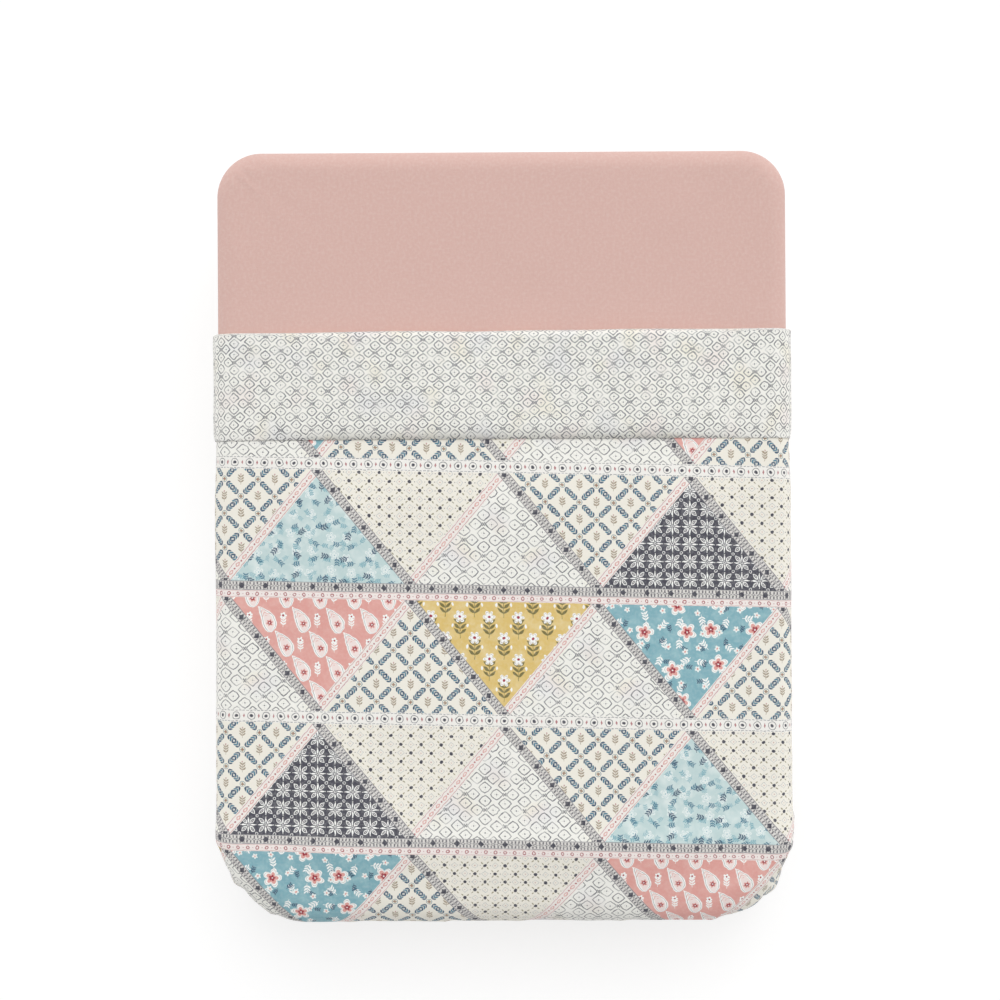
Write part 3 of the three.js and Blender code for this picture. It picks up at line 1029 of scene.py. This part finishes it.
def make_back():
    mesh = grid_mesh("back_panel", *cover_lines())
    mesh.flip_normals()
    flat = mesh_points(mesh)[:, :2]
    corners = mesh_values(mesh.loops, "vertex_index")
    outer_fold = math.pi * (FILL_TURNBACK + FOLD_INSIDE) - FOLD_LENGTH
    stretched = flat[:, 1] + outer_fold * np.clip((flat[:, 1] - FOLD_BEGIN) / FOLD_LENGTH, 0, 1)
    add_uv(mesh, "print", np.stack([flat[:, 0], stretched], axis=-1)[corners])
    add_uv(mesh, "OFBake", bake_uv(flat)[corners])
    mesh.materials.append(trellis("printed_reverse", scale=1.0))
    _, reverse = both_faces(flat[:, 0], flat[:, 1])
    mesh.vertices.foreach_set("co", reverse.ravel())
    return add_piece("back_panel", mesh)


# The fitted sheet: where it is bare, how it gathers at its head corners, and drags and sags on top
BARE_ZONE = (FOLD_START + 0.05, FOLD_START + 0.13)
GATHER_DEPTH = 0.0050
GATHER_PITCH = 0.036
GATHER_SPAN = 0.150
GATHER_DROP = (0.060, 0.200)
GATHER_PHASE = 2.0
DRAG_DEPTH = 0.0022
DRAG_LINES = 22
DRAG_ZONE = (0.05, 0.12)
DRAG_REACH = 0.24
HOLLOW_DEPTH = 0.0030
HOLLOW_SIZE = 0.13
HOLLOW_SEED = 17
TOP_ZONE = (MATTRESS_TOP - 0.020, MATTRESS_TOP)
SHEET_WEAVE = {"ground": "#DAB6AD", "shade": "#D1A9A0", "thread": 0.003, "depth": 0.0005}
BASE_WEAVE = {"ground": "#D5CEC2", "shade": "#C6BEB1", "thread": 0.006, "depth": 0.0010}

# How the meshes of the bed are cut
CORNER_STEPS = 36
SIDE_STEPS = 100
RING_POINTS = 4 * (CORNER_STEPS + SIDE_STEPS)
EDGE_RINGS = 9
TOP_RINGS = 34
TOP_OPENING = 0.02
MATTRESS_SIDE_RINGS = 14
BASE_SIDE_RINGS = 12
WIDEST_RING = 10
SMALLEST_CORNER = 0.001
LEVEL_NORMAL = 0.7


def ring(half_x, half_y, head_corner, foot_corner, level):
    """A closed rounded rectangle, with the same number of points for any size."""
    arcs = []
    for quarter, (side, end) in enumerate(((1, 1), (-1, 1), (-1, -1), (1, -1))):
        corner = max(head_corner if end > 0 else foot_corner, SMALLEST_CORNER)
        angle = np.linspace(0, QUARTER_TURN, CORNER_STEPS + 1) + quarter * QUARTER_TURN
        x = side * (half_x - corner) + corner * np.cos(angle)
        y = end * (half_y - corner) + corner * np.sin(angle)
        arcs.append(np.stack([x, y], axis=-1))
    between_arcs = np.linspace(0, 1, SIDE_STEPS + 1)[1:-1, None]
    stretches = []
    for arc, following in zip(arcs, arcs[1:] + arcs[:1]):
        stretches += [arc, mix(arc[-1], following[0], between_arcs)]
    points = np.concatenate(stretches)
    return np.column_stack([points, np.full(len(points), level)])


def loft(name, rings):
    """A closed mesh through rings of points, with its first and last ring filled."""
    count = len(rings[0])
    points = np.concatenate(rings)
    here = np.arange(count)
    there = np.roll(here, -1)
    faces = []
    for level in range(len(rings) - 1):
        low, high = level * count, (level + 1) * count
        faces.extend(np.stack([low + here, low + there, high + there, high + here], axis=-1).tolist())
    faces.append(here[::-1].tolist())
    faces.append((here + (len(rings) - 1) * count).tolist())
    mesh = bpy.data.meshes.new(name)
    mesh.from_pydata(points.tolist(), [], faces)
    return mesh


def block_rings(low, high, head_corner, foot_corner, edge, side_rings):
    """Rings up a block with round edges, and in over its top."""
    half_x, half_y = high.x, high.y
    turn = np.linspace(0, QUARTER_TURN, EDGE_RINGS)
    profile = [(edge * (1 - math.sin(t)), low.z + edge * (1 - math.cos(t))) for t in turn]
    profile += [(0.0, level) for level in np.linspace(low.z + edge, high.z - edge, side_rings)[1:-1]]
    profile += [(edge * (1 - math.cos(t)), high.z - edge * (1 - math.sin(t))) for t in turn]
    profile += [(inset, high.z) for inset in np.linspace(edge, half_x - TOP_OPENING, TOP_RINGS)[1:]]
    return [
        ring(half_x - inset, half_y - inset, head_corner - inset, foot_corner - inset, level)
        for inset, level in profile
    ]


def cloth_uv(mesh):
    """Places on the cloth: as seen from above on level faces, round the block and up on upright ones."""
    points, corners = mesh_points(mesh), mesh_values(mesh.loops, "vertex_index")
    sides = mesh_values(mesh.polygons, "loop_total")
    normals = mesh_values(mesh.polygons, "normal", 3, float)
    level = np.repeat(np.abs(normals[:, 2]) > LEVEL_NORMAL, sides)

    middle = points[RING_POINTS * WIDEST_RING:RING_POINTS * (WIDEST_RING + 1)]
    steps = np.linalg.norm(np.roll(middle, -1, axis=0) - middle, axis=1)
    around = np.concatenate([[0.0], np.cumsum(steps)])
    column = corners % RING_POINTS
    face = np.repeat(np.arange(len(sides)), sides)
    furthest = np.zeros(len(sides), dtype=int)
    np.maximum.at(furthest, face, column)
    closing = (column == 0) & (furthest[face] == RING_POINTS - 1)
    upright = np.stack([around[np.where(closing, RING_POINTS, column)], points[corners, 2]], axis=-1)
    add_uv(mesh, "print", np.where(level[:, None], points[corners, :2], upright))


def plain_weave(name, ground, shade, thread, depth):
    cloth = Print(name, ground)
    for stretch in ((1.0, 0.2), (0.2, 1.0)):
        cloth.blend(cloth.clouds(thread, 0.45, 1.5, 1.0, stretch) * 0.4, shade)
    return cloth.cotton(roughness=0.88, thread=thread, depth=depth)


def settle_sheet(mesh):
    """Presses soft hollows into the bare sheet, and drag lines and gathers into its head corners."""
    points = mesh_points(mesh)
    x, y, z = points.T
    bare = smooth(y, *BARE_ZONE)
    right = np.abs(x) - (MATTRESS_HIGH.x - MATTRESS_HEAD_CORNER)
    ahead = y - (MATTRESS_HIGH.y - MATTRESS_HEAD_CORNER)
    out_x, out_y = np.maximum(right, 0), np.maximum(ahead, 0)
    reach = np.maximum(np.hypot(out_x, out_y), NEVER_ZERO)
    round_corner = MATTRESS_HEAD_CORNER * np.arctan2(out_y, out_x)
    round_corner = round_corner + np.minimum(ahead, 0) - np.minimum(right, 0)
    from_corner = round_corner - MATTRESS_HEAD_CORNER * QUARTER_TURN / 2

    below = smooth(MATTRESS_TOP - z, *GATHER_DROP) * bump(from_corner, GATHER_SPAN)
    pleat = 0.5 + 0.5 * np.sin(FULL_TURN * from_corner / GATHER_PITCH + GATHER_PHASE * np.sign(x))
    inward = GATHER_DEPTH * bare * below * pleat
    points[:, 0] -= inward * np.sign(x) * out_x / reach
    points[:, 1] -= inward * out_y / reach

    to_corner = np.hypot(MATTRESS_HIGH.x - np.abs(x), MATTRESS_HIGH.y - y)
    ray = np.arctan2(MATTRESS_HIGH.y - y, MATTRESS_HIGH.x - np.abs(x))
    rays = 0.5 + 0.5 * np.sin(DRAG_LINES * ray)
    drag = rays * smooth(to_corner, *DRAG_ZONE) * bump(to_corner, DRAG_REACH)
    hollow = 0.5 + 0.5 * soft_noise(x + NOISE_SHIFT, y + NOISE_SHIFT, HOLLOW_SIZE, HOLLOW_SEED)
    on_top = bare * smooth(z, *TOP_ZONE)
    points[:, 2] -= on_top * (DRAG_DEPTH * drag + HOLLOW_DEPTH * hollow)
    mesh.vertices.foreach_set("co", points.ravel())


def make_mattress():
    shape = MATTRESS_HEAD_CORNER, MATTRESS_FOOT_CORNER, MATTRESS_EDGE, MATTRESS_SIDE_RINGS
    mesh = loft("mattress_sheet", block_rings(MATTRESS_LOW, MATTRESS_HIGH, *shape))
    settle_sheet(mesh)
    cloth_uv(mesh)
    mesh.materials.append(plain_weave("pink_cotton", **SHEET_WEAVE))
    return add_piece("mattress_sheet", mesh)


def make_base():
    shape = BASE_HEAD_CORNER, BASE_FOOT_CORNER, BASE_EDGE, BASE_SIDE_RINGS
    mesh = loft("base_cover", block_rings(BASE_LOW, BASE_HIGH, *shape))
    cloth_uv(mesh)
    mesh.materials.append(plain_weave("oat_upholstery", **BASE_WEAVE))
    return add_piece("base_cover", mesh)


# Camera, light and floor

VIEW_HEIGHT = 4.5
VIEW_CENTRE = (-0.008, 0.078)
VIEW_ROLL = math.radians(-0.34)
SENSOR_WIDTH = 36.0
PHOTO_PIXELS = 1000
PIXEL_AT_SIDE = 0.002698
SIDE_BELOW_TOP = 0.055
# The sky: bright at both sides of the bed, dim at head, foot and top, and white in a low band all round
SKY_SIDES = 1.20
SKY_TOP = 0.12
HORIZON_HEIGHT = 0.10
HORIZON_LEVEL = 1.5
KEY_STRENGTH = 1.95
KEY_SPREAD = math.radians(48)
KEY_PLACE = (0.4, 2.4, 4.0)
FLOOR_REACH = 30
FLOOR_GREY = 0.36
FLOOR_GLOW = 0.68
FLOOR_ROUGHNESS = 0.9


def make_camera():
    camera = bpy.data.cameras.new("camera")
    camera.sensor_width = SENSOR_WIDTH
    width_seen = PHOTO_PIXELS * PIXEL_AT_SIDE
    camera.lens = SENSOR_WIDTH * (VIEW_HEIGHT + SIDE_BELOW_TOP) / width_seen
    viewer = add_object("camera", camera)
    viewer.location = (*VIEW_CENTRE, MATTRESS_TOP + VIEW_HEIGHT)
    viewer.rotation_euler = (0.0, 0.0, VIEW_ROLL)
    bpy.context.scene.camera = viewer


def make_light():
    world = bpy.data.worlds.new("studio")
    bpy.context.scene.world = world
    world.use_nodes = True
    nodes, links = world.node_tree.nodes, world.node_tree.links
    direction = nodes.new("ShaderNodeTexCoord")
    parts = nodes.new("ShaderNodeSeparateXYZ")
    links.new(direction.outputs["Generated"], parts.inputs[0])
    x, _, z = (Sum(world.node_tree, socket) for socket in parts.outputs)
    walls = x.square() * SKY_SIDES + SKY_TOP
    horizon = z.run("MULTIPLY_ADD", -1 / HORIZON_HEIGHT, HORIZON_LEVEL, clamp=True)
    links.new(walls.most(horizon).socket, nodes["Background"].inputs["Strength"])
    nodes["Background"].inputs["Color"].default_value = (1.0, 1.0, 1.0, 1.0)
    lamp = bpy.data.lights.new("soft_key", "SUN")
    lamp.energy = KEY_STRENGTH
    lamp.angle = KEY_SPREAD
    key = add_object("soft_key", lamp)
    key.location = KEY_PLACE
    key.rotation_euler = (-key.location).to_track_quat("-Z", "Y").to_euler()
    bpy.context.scene.view_settings.view_transform = "Standard"


def make_floor():
    places = np.linspace(-FLOOR_REACH, FLOOR_REACH, 3)
    mesh = grid_mesh("floor", places, places)
    floor = add_piece("floor", mesh)
    material = bpy.data.materials.new("pale_floor")
    material.use_nodes = True
    set_inputs(material.node_tree.nodes["Principled BSDF"], {
        "Base Color": (FLOOR_GREY, FLOOR_GREY, FLOOR_GREY, 1.0),
        "Roughness": FLOOR_ROUGHNESS,
        "Emission Color": (1.0, 1.0, 1.0, 1.0),
        "Emission Strength": FLOOR_GLOW,
    })
    mesh.materials.append(material)


make_camera()
front, back = make_front(), make_back()
mattress, base = make_mattress(), make_base()
make_light()
make_floor()

for piece, node, slot in (
    (front, "duvet_cover", "cover_cotton"),
    (back, "duvet_cover", "cover_cotton"),
    (mattress, "mattress", "sheet_cotton"),
    (base, "bed_base", "base_fabric"),
):
    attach(piece, "root")
    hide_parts(node)
